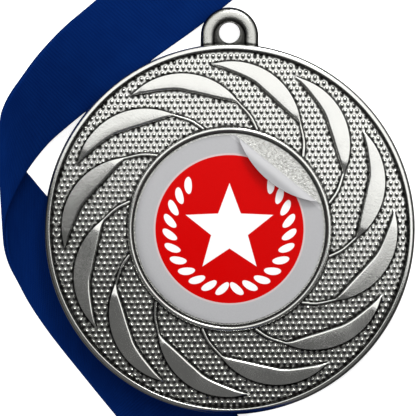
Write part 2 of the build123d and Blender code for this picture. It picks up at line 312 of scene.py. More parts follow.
def blade_rows():
    """Eight rows from the left edge to the right edge, each with x, y and height above the field."""
    rows = [[] for _ in ROW_DARK]
    for left, right in zip(BLADE_LEFT, BLADE_RIGHT):
        width = np.linalg.norm(right - left)
        if width < SLIVER:
            break
        leaf = min(max((width - 2 * STEM_HALF) / LEAF_OVER, 0.0), 1.0)
        leaf = leaf * leaf * (3 - 2 * leaf)
        wall = min(WALL_WIDTH, 0.16 * width)
        bevel = min(BEVEL, 0.3 * width)
        outer = min(OUTER_ROUND, 0.2 * width)
        flat = min(bevel + CREST, 0.45 * width)
        places = [0, wall, bevel, flat, 0.5 * (flat + width - outer), width - outer, width - wall, width]
        sunk = min(1.0, width / TIP_SINKS)
        for row, place, stem_height, leaf_height in zip(rows, places, STEM_HEIGHTS, LEAF_HEIGHTS):
            x, y = left + (right - left) * (place / width)
            row.append((x, y, sunk * ((1 - leaf) * stem_height + leaf * leaf_height)))
    rows = [np.array(row) for row in rows]
    for row in rows:
        row[0, :2] *= RING_OUTER / hypot(*row[0, :2])
    return rows


def turned(points, degrees_round):
    """Points turned clockwise round the medal's middle."""
    a = radians(-degrees_round)
    p = np.array(points, float)
    x = p[:, 0] * cos(a) - p[:, 1] * sin(a)
    y = p[:, 0] * sin(a) + p[:, 1] * cos(a)
    return np.column_stack([x, y, p[:, 2:]])


ROWS = blade_rows()
BLADE_OUTLINE = np.vstack([ROWS[0][:, :2], BLADE_RIGHT[-1:], ROWS[-1][::-1, :2]])
print("points along each blade row", len(ROWS[0]))


def gap_to_blades(points):
    """Distance from each point to the nearest blade outline, negative inside a blade."""
    found = np.full(len(points), 99.0)
    a = BLADE_OUTLINE
    b = np.roll(a, -1, axis=0)
    ab = b - a
    for k in range(BLADES):
        p = turned(points, -k * 360 / BLADES)[:, None, :2]
        t = np.clip(((p - a) * ab).sum(2) / np.maximum((ab * ab).sum(1), 1e-12), 0, 1)
        away = np.linalg.norm(p - (a + ab * t[..., None]), axis=2).min(1)
        crosses = (a[:, 1] > p[..., 1]) != (b[:, 1] > p[..., 1])
        rise = np.where(np.abs(ab[:, 1]) < 1e-12, 1e-12, ab[:, 1])
        at = a[:, 0] + ab[:, 0] * (p[..., 1] - a[:, 1]) / rise
        inside = (crosses & (p[..., 0] < at)).sum(1) % 2 == 1
        found = np.minimum(found, np.where(inside, -away, away))
    return found


# %% [markdown]
# ## Beads: the rim and the ring
# The rim and the ring are turned beads, round on top with an upright wall at the field. In a relief
# they are circles of points: one at the wall's foot, one at its top, and a few over the round top. The
# rim's crest is near its inner side, so most of it is one long outer slope.
# The ring's outer foot also takes in the points where the twelve stems land on it.

# %% Add the rim, the ring, the blades and the pips
WALL = 0.03
ROUND = 360
# BEAD_DARK runs from the ring's outside to its inside: some antique dark by the outer wall, and painted
# shade down the inner side
BEAD_DARK = [0.5, 0.0, 0.0, 0.0, 0.3, 0.95, 1.0]
RING_RISE = 0.65
SEAT_CORNER = 0.30       # the antique dark in the corner between the seat and the ring, widened into painted shade, is this wide
SEAT_CIRCLES = (10.5, 7.0, 3.5)
STEM_CLEAR = 0.006       # the ring's own foot points stay this angle away from a stem's end
RIM_PROFILE = [(0.03, 0.38), (0.10, 0.25), (0.22, 0.14), (0.38, 0.06), (0.54, 0.01), (0.64, 0.0),
               (0.73, 0.05), (0.81, 0.17), (0.90, 0.42)]   # (in from the edge, below the top)
# RIM_DARK is painted shade down the rim's inner slope, next to the antique dark at the rim's foot
RIM_DARK = [0.0] * 6 + [0.4, 1.0, 1.0]


def bead(middle, half, level, steps):
    """Radius and height over a bead's round top, from outside to inside."""
    angles = np.linspace(0, pi, steps)
    return [(middle + half * cos(a), level + half * sin(a)) for a in angles]


def past(angle, other):
    """How far one angle is past another, from minus half a turn to half a turn."""
    return (angle - other + pi) % (2 * pi) - pi


def ring_foot(relief):
    """The ring's outer foot, which the stems' ends are part of."""
    ends = [turned(np.array([row[0] for row in ROWS]), k * 360 / BLADES) for k in range(BLADES)]
    taken = [(atan2(e[-1][1], e[-1][0]), atan2(e[0][1], e[0][0])) for e in ends]
    foot = []
    for x, y, z in circle(RING_OUTER, FIELD, ROUND):
        gaps = [(past(atan2(y, x), low), past(high, atan2(y, x))) for low, high in taken]
        if not any(min(gap) > -STEM_CLEAR for gap in gaps):
            foot.append((x, y, z))
    for end in ends:
        for x, y, rise in end:
            foot.append((x, y, FIELD + rise))
    foot.sort(key=lambda p: atan2(p[1], p[0]))
    relief.add(foot, closed=True, dark=1.0)


def add_face(relief):
    ring_foot(relief)
    ring_half = (RING_OUTER - RING_INNER) / 2
    crest = bead(RING_INNER + ring_half, ring_half - WALL, FIELD + RING_RISE - ring_half, len(BEAD_DARK))
    for (radius, height), shade in zip(crest, BEAD_DARK):
        relief.add(circle(radius, height, ROUND), closed=True, dark=shade)
    relief.add(circle(RING_INNER, LABEL_FLOOR, ROUND), closed=True, dark=1.0)
    relief.add(circle(RING_INNER - SEAT_CORNER, LABEL_FLOOR, ROUND), closed=True)
    for radius in SEAT_CIRCLES:
        relief.add(circle(radius, LABEL_FLOOR, 60), joined=False)
    relief.add([(0, 0, LABEL_FLOOR)], joined=False)
    for k in range(BLADES):
        for row, shade in zip(ROWS, ROW_DARK):
            line = turned(row, k * 360 / BLADES)
            relief.add([(x, y, FIELD + z) for x, y, z in line], dark=shade)
    relief.add(circle(RIM_INNER, FIELD, ROUND), closed=True, dark=1.0)
    for (inside, below), shade in zip(RIM_PROFILE, RIM_DARK):
        relief.add(circle(R - inside, TOP - below, ROUND), closed=True, dark=shade)


def add_pips(relief):
    for n, (share, count) in enumerate(PIP_RINGS):
        spots = []
        pip_painted_shade = []
        for x, y in PIPS:
            ring = circle(share * PIP_RADIUS, FIELD + dome(share), count, (x, y), turn=0.5 * n)
            spots += ring
            # painted shade: points on a dome's lower side get extra dark
            pip_painted_shade += [PIP_SHADE[n] * (0.5 - 0.5 * (p[1] - y) / PIP_RADIUS) ** 3 for p in ring]
        spots, pip_painted_shade = np.array(spots), np.array(pip_painted_shade)
        reach = np.hypot(spots[:, 0], spots[:, 1])
        gap = np.hstack([gap_to_blades(part) for part in np.array_split(spots, 8)])
        gap = np.minimum(gap, np.minimum(reach - RING_OUTER, RIM_INNER - reach)) - PIP_CLEAR
        spots, pip_painted_shade, gap = spots[gap > 0], pip_painted_shade[gap > 0], gap[gap > 0]
        whole = np.minimum(gap / PIP_SLOPE, 1.0)
        spots[:, 2] = FIELD + (spots[:, 2] - FIELD) * whole
        relief.add(spots, joined=False, dark=np.maximum(pip_painted_shade, PIP_CUT_DARK * (1 - whole)))
        print("pip points at", share, "of the radius:", len(spots))


# %% [markdown]
# ## The eye
# The eye is a rounded arch cast onto the medal's edge, with a thin web inside it and a round hole for
# the clip. The arch is swept: rows of points at set distances from its outer edge follow its path up
# one leg, over the top and down the other leg. The same rows, mirrored, make its back.

# %% Rows of points over the eye's arch
EYE_CENTRE = (0.0, R + 1.05)
HOLE_CENTRE = (0.0, R + 1.5)
EYE_OUTER, EYE_WIDTH, HOLE_R = 3.9, 1.95, 1.4
EYE_MIDDLE = (BACK + TOP) / 2 - 0.05
EYE_HALF, WEB_HALF = 1.0, 0.6
EYE_EDGE = 0.12          # half the arch's thickness at its thin edge
EDGE_DROP = 0.5          # the medal's upright edge starts this far below its top
HOLE_SIDES = 40
HOLE_LIP = [(0.0, 0.0), (0.05, 0.05), (0.16, 0.06), (0.24, 0.0)]   # (out from the hole, above the web)
WEB_CLEAR = 0.03
ARCH_ROWS = [0.0, 0.06, 0.2, 0.42, 0.7, 0.98, 1.26, 1.54, 1.76, 1.9]
ARCH_DARK = {0.06: 0.85, 0.2: 0.6, 0.42: 0.25, 1.26: 0.15, 1.54: 0.5, 1.76: 0.8, 1.9: 1.0}


def arch_half(depth):
    """Half the arch's thickness at a distance from its outer edge."""
    across = abs(depth - EYE_WIDTH / 2) / (EYE_WIDTH / 2)
    return EYE_EDGE + (EYE_HALF - EYE_EDGE) * (1 - across**2.6) ** (1 / 2.2)


def arch_row(depth, side):
    radius = EYE_OUTER - depth
    half = arch_half(depth) if depth < EYE_WIDTH / 2 else max(arch_half(depth), WEB_HALF)
    height = EYE_MIDDLE + side * half
    x0, y0 = EYE_CENTRE
    foot = sqrt(R * R - radius * radius)
    leg = [foot + (y0 - foot) * t for t in (0, 0.33, 0.66)]
    round_top = [(x0 + radius * cos(a), y0 + radius * sin(a), height) for a in np.linspace(0, pi, 41)]
    return [(radius, y, height) for y in leg] + round_top + [(-radius, y, height) for y in reversed(leg)]


def edge_level(x, y, side):
    """Height of the medal's edge at the outline, face (side 1) or back (side -1)."""
    medal = TOP - EDGE_DROP if side > 0 else BACK + EDGE_DROP
    if y < 0 or abs(x) >= EYE_OUTER:
        return medal
    depth = EYE_OUTER - abs(x)
    half = arch_half(depth) if depth < EYE_WIDTH else WEB_HALF
    return EYE_MIDDLE + side * half if depth > 0.1 else medal


def on_web(x, y):
    """True on the thin web, clear of the arch and of the medal's edge."""
    inner = EYE_OUTER - ARCH_ROWS[-1] - WEB_CLEAR
    aside = hypot(x, y - EYE_CENTRE[1]) if y > EYE_CENTRE[1] else abs(x)
    return hypot(x, y) > R + WEB_CLEAR and aside < inner


def add_eye(relief, side):
    """Adds the eye and the medal's outline, and returns the ids of the two closed borders."""
    rows = [arch_row(depth, side) for depth in ARCH_ROWS]
    start = atan2(rows[0][0][1], rows[0][0][0])
    round_edge = [start - k * 2 * pi / ROUND for k in range(1, ROUND)]
    round_edge = [a for a in round_edge if a > pi - start - 2 * pi + 0.005]
    outline = [(R * cos(a), R * sin(a), edge_level(R * cos(a), R * sin(a), side)) for a in round_edge]
    medal_level = edge_level(0, -R, side)
    arch = [rows[0][0][:2] + (medal_level,)] + rows[0][1:-1] + [rows[0][-1][:2] + (medal_level,)]
    border = relief.add(outline + arch[::-1], closed=True)
    feet = sorted({row[0][0] for row in rows[1:]} | set(np.linspace(0, rows[-1][0][0], 5)))
    across = [-x for x in reversed(feet)] + feet[1:]
    shared = [-EYE_OUTER] + across + [EYE_OUTER]
    line = [(x, sqrt(R * R - x * x), edge_level(x, R, side)) for x in shared]
    line[0] = line[0][:2] + (medal_level,)
    line[-1] = line[-1][:2] + (medal_level,)
    relief.add(line, dark=0.9)
    for depth, row in zip(ARCH_ROWS[1:], rows[1:]):
        relief.add(row[1:-1], dark=ARCH_DARK.get(depth, 0.0))
    lip = [circle(HOLE_R + out, EYE_MIDDLE + side * (WEB_HALF + rise), HOLE_SIDES, HOLE_CENTRE)
           for out, rise in HOLE_LIP]
    for ring in lip[1:]:
        relief.add([p for p in ring if on_web(p[0], p[1])], joined=False, dark=0.6)
    return border, relief.add(lip[0], closed=True, dark=0.9)


def in_outline(middles):
    """True for each point that lies in the medal's plan."""
    x, y = middles[:, 0], middles[:, 1]
    round_part = np.hypot(x, y) < R
    top = (np.hypot(x, y - EYE_CENTRE[1]) < EYE_OUTER) | ((np.abs(x) < EYE_OUTER) & (y < EYE_CENTRE[1]))
    hole = np.hypot(x, y - HOLE_CENTRE[1]) < HOLE_R * cos(pi / HOLE_SIDES)
    return (round_part | (top & (y > 0))) & ~hole


# %% [markdown]
# ## Closing the casting
# The face relief and a plainer back relief share the same outline, so the two can be joined by an
# upright wall round the edge and another inside the eye's hole. The result is one closed mesh.

# %% Join face, back and walls into the medal
BACK_SEAT_R = 13.0       # the back has a plain shallow seat too
BACK_SEAT = 0.0
BACK_EDGE = [(0.5, 0.0), (0.3, 0.042), (0.15, 0.143), (0.04, 0.304)]   # (in from the edge, above the back)


def add_back(relief):
    rings = [(BACK_SEAT_R - WALL, BACK_SEAT), (BACK_SEAT_R, BACK), (18.0, BACK)]
    rings += [(R - inside, BACK + above) for inside, above in BACK_EDGE]
    for radius, height in rings:
        relief.add(circle(radius, height, ROUND), closed=True)
    for radius in (9.0, 4.5):
        relief.add(circle(radius, BACK_SEAT, 60), joined=False)
    relief.add([(0, 0, BACK_SEAT)], joined=False)


def medal_mesh():
    face, back = Relief(), Relief()
    face_borders = add_eye(face, 1)
    add_face(face)
    add_pips(face)
    back_borders = add_eye(back, -1)
    add_back(back)
    corners, faces, place, dark = face.filled(in_outline)
    more, back_faces, back_place, back_dark = back.filled(in_outline)
    shift = len(corners)
    faces = [tuple(f) for f in faces] + [tuple(i + shift for i in reversed(f)) for f in back_faces]
    for a, b in zip(face_borders, back_borders):
        for i in range(len(a)):
            j = (i + 1) % len(a)
            faces.append((place[a[i]], place[a[j]], back_place[b[j]] + shift, back_place[b[i]] + shift))
    return corners + more, faces, dark + back_dark


medal_points, medal_faces, medal_dark = medal_mesh()
medal = make_piece("medal_body.cast", medal_points, medal_faces, "medal", "antique_silver",
                   ["medal_body"], sharp=36)
medal.data.attributes.new("dark", "FLOAT", "POINT").data.foreach_set("value", medal_dark)

# %% [markdown]
# ## The ribbon
# The ribbon is one loop of woven polyester tape, 12.7 mm wide and 800 mm round. It is folded double:
# its two layers lie on each other from the sewn end, under the medal, and into the roll. The clip's bar
# lies in the loop at the sewn end. A strip with straight crossings can be bent like this without
# stretching, so the tape is drawn as a series of straight lines across it, far edge to near edge.
# It is built as one closed mesh: up along the upper layer, round the core of the roll, back along the
# lower layer, and round the clip's bar to where it began.

# %% The ribbon's route, in millimetres: (far edge, near edge), each with its height above the flat band
ROUTE = [
    ((4.4, 50.0, 0.0), (12.0, 39.8, 0.0)),
    ((-0.6, 45.7, 0.0), (7.2, 36.2, 0.0)),
    ((-3.9, 42.9, 0.0), (4.0, 33.8, 0.0)),
    ((-12.3, 35.8, 0.8), (-3.9, 27.6, 0.0)),
    ((-18.6, 30.4, 2.2), (-10.2, 23.1, 0.0)),
    ((-22.4, 27.0, 4.0), (-14.7, 19.6, 0.0)),
    ((-25.6, 23.4, 5.9), (-18.5, 16.75, 0.1)),
    ((-27.9, 20.2, 7.1), (-22.0, 13.9, 1.6)),
    ((-29.4, 18.0, 7.5), (-24.8, 11.3, 2.9)),
    ((-30.4, 16.0, 7.2), (-27.4, 7.8, 3.8)),
    ((-30.9, 14.4, 6.3), (-29.3, 3.9, 3.8)),
    ((-31.05, 12.9, 5.1), (-30.1, 0.8, 3.0)),
    ((-30.9, 11.6, 3.8), (-30.2, -2.0, 2.0)),
    ((-30.2, 10.4, 2.4), (-29.7, -4.6, 1.2)),
    ((-28.9, 9.2, 1.1), (-28.5, -7.2, 0.55)),
    ((-27.0, 7.2, 0.3), (-26.9, -10.3, 0.15)),
    ((-24.7, 4.5, 0.0), (-24.2, -14.3, 0.0)),
    ((-17.0, -4.3, 0.0), (-19.5, -20.2, 0.0)),
    ((-5.9, -16.9, 0.0), (-15.4, -25.2, 0.0)),
]
RIBBON_WIDTH = 12.7
RIBBON_LOOP = 800.0
TAPE = 0.34
LAYER_APART = 0.19       # from the band's middle to each layer's middle
BAND_HALF = 0.375        # half the room that the two layers take
BAND_MIDDLE = TABLE + BAND_HALF
ROLL_RADIUS = 9.9
ROLL_CENTRE = np.array([3.7, -38.0, TABLE + ROLL_RADIUS])
ROLL_OUTER = ROLL_RADIUS - BAND_HALF
ROLL_STEP = 0.93         # the spiral closes in by this much each turn
ROLL_STRIDE = 1.1        # length of tape between two crossings in the roll
ROLL_HEADING = radians(-49.6)
BAR_RADIUS = 0.55
LOOP_RADIUS = 1.01
UP = np.array([0.0, 0.0, 1.0])

# %% Straight crossings along the band, then round the roll
heading = np.array([cos(ROLL_HEADING), sin(ROLL_HEADING), 0.0])
across_roll = np.array([-sin(ROLL_HEADING), cos(ROLL_HEADING), 0.0])
lift = np.array([0.0, 0.0, BAND_MIDDLE])
flat_end = np.array([ROLL_CENTRE[0], ROLL_CENTRE[1], 0.0]) + lift


def band_crossings():
    """Far and near ends of each crossing of the flat part, and the ribbon's way up at each."""
    far = [np.array(f) + lift for f, _ in ROUTE]
    near = [np.array(n) + lift for _, n in ROUTE]
    for back in (9.0, 3.0, 0.0):
        far.append(flat_end - heading * back + across_roll * RIBBON_WIDTH / 2)
        near.append(flat_end - heading * back - across_roll * RIBBON_WIDTH / 2)
    far, near = smooth_line(far, 14), smooth_line(near, 14)
    along = np.gradient((far + near) / 2, axis=0)
    upward = np.cross(near - far, along)
    return far, near, upward / np.linalg.norm(upward, axis=1)[:, None]


def roll_crossings(length):
    """The spiral: each turn lies on the last, a step nearer the core."""
    far, near, upward = [], [], []
    angle, gone = 0.0, 0.0
    while gone < length:
        radius = ROLL_OUTER - ROLL_STEP * angle / (2 * pi)
        step = ROLL_STRIDE / radius
        angle += step
        gone += step * radius
        radius = ROLL_OUTER - ROLL_STEP * angle / (2 * pi)
        inward = -(sin(angle) * heading - cos(angle) * UP)
        # the turns' edges are never quite in line
        wander = 0.16 * sin(1.7 * angle) + 0.1 * sin(0.6 * angle + 1.0)
        middle = ROLL_CENTRE - inward * radius + across_roll * wander
        far.append(middle + across_roll * RIBBON_WIDTH / 2)
        near.append(middle - across_roll * RIBBON_WIDTH / 2)
        upward.append(inward)
    print("turns in the roll", round(angle / (2 * pi), 2), "core radius", round(radius, 2))
    return np.array(far), np.array(near), np.array(upward)


flat = band_crossings()
flat_length = np.linalg.norm(np.diff((flat[0] + flat[1]) / 2, axis=0), axis=1).sum()
rolled = roll_crossings(RIBBON_LOOP / 2 - flat_length)
FAR, NEAR, UPWARD = [np.vstack(pair) for pair in zip(flat, rolled)]
rolled_length = RIBBON_LOOP / 2 - flat_length
print("flat part", round(flat_length, 1), "mm, rolled part", round(rolled_length, 1), "mm")

# %% The sewn end and the core of the roll close the loop
sewn_along = (NEAR[0] - FAR[0]) / np.linalg.norm(NEAR[0] - FAR[0])
sewn_out = np.cross(UP, sewn_along)
SEWN = (FAR[0] + NEAR[0]) / 2
SEWN[2] = TABLE
bar_centre = SEWN + sewn_out * LOOP_RADIUS + UP * LOOP_RADIUS
WRAP_CLEAR = 0.1         # between the clip's bar and the tape round it
NECK_OUT, NECK_UP = -0.25, 0.66      # where the wrap comes down to the upper layer again


def loop_of_crossings():
    """Every crossing of the one closed loop: far end, near end and the tape's own upward direction."""
    upper = [(f + u * LAYER_APART, n + u * LAYER_APART, u) for f, n, u in zip(FAR, NEAR, UPWARD)]
    lower = [(f - u * LAYER_APART, n - u * LAYER_APART, -u) for f, n, u in zip(FAR, NEAR, UPWARD)]
    f, n, u = FAR[-1], NEAR[-1], UPWARD[-1]
    forward = np.cross(u, (n - f) / RIBBON_WIDTH) * -1
    forward = forward if forward @ (FAR[-1] - FAR[-2]) > 0 else -forward
    core = []
    for a in np.linspace(0, pi, 7)[1:-1]:
        out = cos(a) * u + sin(a) * forward
        shift = out * LAYER_APART + forward * 0.3 * sin(a)
        core.append((f + shift, n + shift, out))
    half = RIBBON_WIDTH / 2
    wrap = []
    around = BAR_RADIUS + WRAP_CLEAR + TAPE / 2
    for a in np.radians(np.linspace(-90, 150, 13)):
        out = cos(a) * sewn_out + sin(a) * UP
        middle = bar_centre + out * around
        wrap.append((middle - sewn_along * half, middle + sewn_along * half, out))
    neck = SEWN + sewn_out * NECK_OUT + UP * NECK_UP
    tilt = UP * 0.86 - sewn_out * 0.5
    wrap.append((neck - sewn_along * half, neck + sewn_along * half, tilt / np.linalg.norm(tilt)))
    return upper[2:] + core + lower[::-1] + wrap


def tape_mesh(crossings, columns=10):
    """A closed tape over a closed loop of crossings, slightly thinner at its woven edges."""
    shares = np.array([0, 0.012, 0.05] + list(np.linspace(0.15, 0.85, columns - 5)) + [0.95, 0.988, 1])
    thick = TAPE / 2 * np.array([0.62, 0.95] + [1.0] * (len(shares) - 4) + [0.95, 0.62])
    ring = 2 * len(shares)
    points = []
    for far, near, out in crossings:
        line = far + (near - far) * shares[:, None]
        points += list(line + out * thick[:, None]) + list((line - out * thick[:, None])[::-1])
    faces = []
    count = len(crossings)
    for i in range(count):
        a, b = i * ring, (i + 1) % count * ring
        for k in range(ring):
            m = (k + 1) % ring
            faces.append((a + k, a + m, b + m, b + k))
    return points, faces, ring, shares


def map_ribbon(piece, crossings, ring, shares):
    """A UV map in millimetres: u across the tape, v along it, for the weave."""
    middles = np.array([(f + n) / 2 for f, n, _ in crossings])
    step = np.linalg.norm(np.diff(np.vstack([middles, middles[:1]]), axis=0), axis=1)
    along = np.concatenate([[0], np.cumsum(step)])
    across = np.concatenate([shares, shares[::-1]]) * RIBBON_WIDTH
    layer = piece.data.uv_layers.new(name="ribbon")
    for face in piece.data.polygons:
        rows = [v // ring for v in face.vertices]
        wraps = max(rows) - min(rows) > 1
        for loop, vertex in zip(face.loop_indices, face.vertices):
            row = vertex // ring
            v = along[-1] if wraps and row == 0 else along[row]
            layer.data[loop].uv = (across[vertex % ring], v)
    return along[-1]


CROSSINGS = loop_of_crossings()
tape_points, tape_faces, tape_ring, tape_shares = tape_mesh(CROSSINGS)
ribbon = make_piece("neck_ribbon.tape", tape_points, tape_faces, "ribbon", "ribbon_weave",
                    ["neck_ribbon", "ribbon_roll"], sharp=80)
loop_length = map_ribbon(ribbon, CROSSINGS, tape_ring, tape_shares)
print("length round the ribbon's loop", round(loop_length, 1), "mm")

# %% [markdown]
# ## Stitches
# Two rows of short stitches hold the sewn end. Each stitch is a short length of twisted thread that
# comes out of the tape, lies on it and dives back in, so each is an arched capsule with its ends sunk.

# %% Sew the two rows
STITCH_ROWS = [2.2, 5.4]
STITCHES_PER_ROW = 6
STITCH_LENGTH = 1.5
THREAD = 0.13            # radius of the thread
STITCH_ARCH, STITCH_DIVE = 0.1, 0.24


def tube(line, radii, sides=10):
    """A closed round tube along a line of points, with a radius at each point."""
    line = np.array(line, float)
    ahead = np.gradient(line, axis=0)
    ahead /= np.linalg.norm(ahead, axis=1)[:, None]
    side = np.cross(ahead[0], UP if abs(ahead[0] @ UP) < 0.9 else np.array([1.0, 0, 0]))
    points, faces = [], []
    for p, d, r in zip(line, ahead, radii):
        side = side - d * (side @ d)
        side /= np.linalg.norm(side)
        other = np.cross(d, side)
        points += [p + r * (cos(a) * side + sin(a) * other) for a in np.arange(sides) * 2 * pi / sides]
    for i in range(len(line) - 1):
        for k in range(sides):
            m = (k + 1) % sides
            faces.append((i * sides + k, i * sides + m, (i + 1) * sides + m, (i + 1) * sides + k))
    faces.append(tuple(range(sides))[::-1])
    faces.append(tuple(range((len(line) - 1) * sides, len(line) * sides)))
    return points, faces


def merged(parts):
    points, faces = [], []
    for more_points, more_faces in parts:
        shift = len(points)
        points += list(more_points)
        faces += [tuple(i + shift for i in face) for face in more_faces]
    return points, faces


def stitch(row, k):
    middle = SEWN - sewn_out * row + UP * (BAND_HALF + LAYER_APART + TAPE / 2)
    middle = middle + sewn_along * ((k + 0.5) * RIBBON_WIDTH / STITCHES_PER_ROW - RIBBON_WIDTH / 2)
    shares = np.linspace(-1, 1, 13)
    line = [middle + sewn_along * s * STITCH_LENGTH / 2 + UP * (STITCH_ARCH - STITCH_DIVE * abs(s) ** 3)
            for s in shares]
    return tube(line, THREAD * (1 - 0.55 * np.abs(shares) ** 6))


stitches = make_piece("seam_stitching.thread", *merged([stitch(row, k) for row in STITCH_ROWS
                      for k in range(STITCHES_PER_ROW)]), "ribbon", "thread", ["seam_stitching"])

# %% [markdown]
# ## The clip
# The clip is one length of 1.1 mm spring wire, bent into a triangle with rounded corners. Its ends
# meet on one side. The wire is a round tube along a path of straight runs and arcs.

# %% Bend the wire
CLIP_BAR = RIBBON_WIDTH + 3.9
CLIP_REACH, CLIP_CORNER, CLIP_NOSE = 13.5, 1.1, 2.6
WIRE_ENDS = (0.30, 0.38)             # where the wire begins and ends, from the bar to the nose


def rounded_path(corners, radii, per_arc=9):
    """Straight runs joined by arcs of the given radii."""
    path = [corners[0]]
    for before, corner, after, radius in zip(corners, corners[1:], corners[2:], radii):
        a = (before - corner) / np.linalg.norm(before - corner)
        b = (after - corner) / np.linalg.norm(after - corner)
        half = np.arccos(np.clip(a @ b, -1, 1)) / 2
        reach = radius / np.tan(half)
        centre = corner + (a + b) / np.linalg.norm(a + b) * radius / sin(half)
        first, last = corner + a * reach - centre, corner + b * reach - centre
        turn = pi - 2 * half
        for t in np.linspace(0, 1, per_arc):
            path.append(centre + (first * sin((1 - t) * turn) + last * sin(t * turn)) / sin(turn))
    return np.array(path + [corners[-1]])


def clip_path():
    droop = asin((LOOP_RADIUS - BAR_RADIUS) / CLIP_REACH)
    forward = sewn_out * cos(droop) - UP * sin(droop)
    a = bar_centre - sewn_along * CLIP_BAR / 2
    b = bar_centre + sewn_along * CLIP_BAR / 2
    nose = bar_centre + forward * (CLIP_REACH + CLIP_NOSE)
    first, last = [a + (nose - a) * share for share in WIRE_ENDS]
    corners = [first, a, b, nose, last]
    return rounded_path(corners, [CLIP_CORNER, CLIP_CORNER, CLIP_NOSE])


wire_line = clip_path()
wire_radii = np.full(len(wire_line), BAR_RADIUS)
wire_radii[[0, -1]] = BAR_RADIUS * 0.8
clip = make_piece("ribbon_clip.wire", *tube(wire_line, wire_radii, 20), "clip", "clip_wire", ["ribbon_clip"])

# %% [markdown]
# ## The label and its peeled flap
# The label is a round of printed film 0.12 mm thick, stuck in the shallow seat. One side has come up
# and folded back over the print. The stuck part is flat and ends at the crease. The flap begins there,
# turns over in a soft bend, and lies back with its pale underside up.

# %% Cut the label and its flap
GLUE = 0.05
LABEL_LOW = LABEL_FLOOR + GLUE
FILM = 0.12
PEEL = radians(50.8)
CREASE_AT = 9.8
CREASE_BEND = 1.35       # length of film in the bend
CREASE_TURN = radians(166)
peel_out = np.array([cos(PEEL), sin(PEEL), 0.0])
peel_along = np.array([-sin(PEEL), cos(PEEL), 0.0])


def film(rows):
    """A closed sheet over a grid of points, each with its own way up."""
    upper = [p + u * FILM / 2 for row in rows for p, u in row]
    lower = [p - u * FILM / 2 for row in rows for p, u in row]
    n, m = len(rows), len(rows[0])
    faces = []
    for i in range(n - 1):
        for j in range(m - 1):
            a, b, c, d = i * m + j, i * m + j + 1, (i + 1) * m + j + 1, (i + 1) * m + j
            faces += [(a, b, c, d), (a + n * m, d + n * m, c + n * m, b + n * m)]
    ring = [j for j in range(m)] + [i * m + m - 1 for i in range(1, n)]
    ring += [(n - 1) * m + j for j in range(m - 2, -1, -1)] + [i * m for i in range(n - 2, 0, -1)]
    faces += [(a, b, b + n * m, a + n * m) for a, b in zip(ring, ring[1:] + ring[:1])]
    return upper + lower, faces


def chord_row(away, profile, count):
    """One row of film at a distance from the label's middle, measured flat along the film."""
    half = sqrt(max(LABEL_R**2 - away**2, 0.0004))
    reach, height, tilt = profile(away)
    up = -sin(tilt) * peel_out + cos(tilt) * UP
    return [(peel_out * reach + peel_along * half * t + UP * height, up) for t in np.linspace(-1, 1, count)]


def flat_film(away):
    return away, LABEL_LOW + FILM / 2, 0.0


def bent_film(away):
    """Where a point of the flap lies: the bend turns smoothly, then the film runs straight back."""
    reach, height, tilt = CREASE_AT, LABEL_LOW + FILM / 2, 0.0
    steps = 60
    step = (away - CREASE_AT) / steps
    for k in range(steps):
        t = min((k + 0.5) * step / CREASE_BEND, 1.0)
        tilt = CREASE_TURN * t * t * (3 - 2 * t)
        reach += cos(tilt) * step
        height += sin(tilt) * step
    return reach, height, tilt


label_aways = [-LABEL_R * cos(a) for a in np.linspace(0, pi, 61) if -LABEL_R * cos(a) < CREASE_AT - 0.2]
label_rows = [chord_row(away, flat_film, 41) for away in label_aways + [CREASE_AT - 0.01]]
label = make_piece("centre_label.film", *film(label_rows), "medal", "label_print", ["centre_label"])
flap_aways = list(np.linspace(CREASE_AT, LABEL_R - 0.12, 30)) + [LABEL_R - 0.04, LABEL_R]
flap = make_piece("label_flap.film", *film([chord_row(a, bent_film, 33) for a in flap_aways]), None,
                  "label_print", ["label_flap"])
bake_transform(flap)
flap_reach, flap_height, _ = bent_film(LABEL_R)
print("flap reaches back to", round(float(flap_reach), 2), "and up to", round(float(flap_height), 2))

# %% [markdown]
# ## Nodes for the finishes
# A finish is a small network of nodes. Two helpers keep the cells short: one adds a node and wires its
# inputs, the other starts a group with named inputs and outputs. Effects that several finishes share
# are groups. The shader itself stays in each material.

# %% Helpers for nodes, groups and materials
def node(tree, kind, inputs=None, **settings):
    made = tree.nodes.new("ShaderNode" + kind)
    for key, value in settings.items():
        setattr(made, key, value)
    for socket, value in (inputs or {}).items():
        if isinstance(value, bpy.types.NodeSocket):
            tree.links.new(value, made.inputs[socket])
        else:
            made.inputs[socket].default_value = value
    return made


def math(tree, operation, a, b=0.0, c=0.0):
    return node(tree, "Math", {0: a, 1: b, 2: c}, operation=operation).outputs[0]


def times(tree, a, b):
    return math(tree, "MULTIPLY", a, b)


def reach_of(tree, x, y):
    """Distance from the middle, in plan."""
    return math(tree, "SQRT", math(tree, "ADD", times(tree, x, x), times(tree, y, y)))


def ramp(tree, value, low, high, start=0.0, end=1.0):
    """A smooth step: start below low, end above high."""
    inputs = {"Value": value, "From Min": low, "From Max": high, "To Min": start, "To Max": end}
    return node(tree, "MapRange", inputs, interpolation_type="SMOOTHSTEP").outputs[0]


def blend_colours(tree, share, a, b):
    return node(tree, "Mix", {0: share, 6: a, 7: b}, data_type="RGBA").outputs[2]


def noise(tree, where, scale, detail=2.0, roughness=0.5):
    inputs = {"Vector": where, "Scale": scale, "Detail": detail, "Roughness": roughness}
    return node(tree, "TexNoise", inputs).outputs["Fac"]


def start_group(name, inputs, outputs):
    """A node group with named inputs and outputs. Returns its tree, its inputs and its output node."""
    tree = bpy.data.node_groups.new(name, "ShaderNodeTree")
    for label, kind, value in inputs:
        socket = tree.interface.new_socket(label, in_out="INPUT", socket_type="NodeSocket" + kind)
        if value is not None:
            socket.default_value = value
    for label, kind in outputs:
        tree.interface.new_socket(label, in_out="OUTPUT", socket_type="NodeSocket" + kind)
    return tree, tree.nodes.new("NodeGroupInput").outputs, tree.nodes.new("NodeGroupOutput").inputs


def use(tree, group, inputs):
    return node(tree, "Group", inputs, node_tree=group).outputs


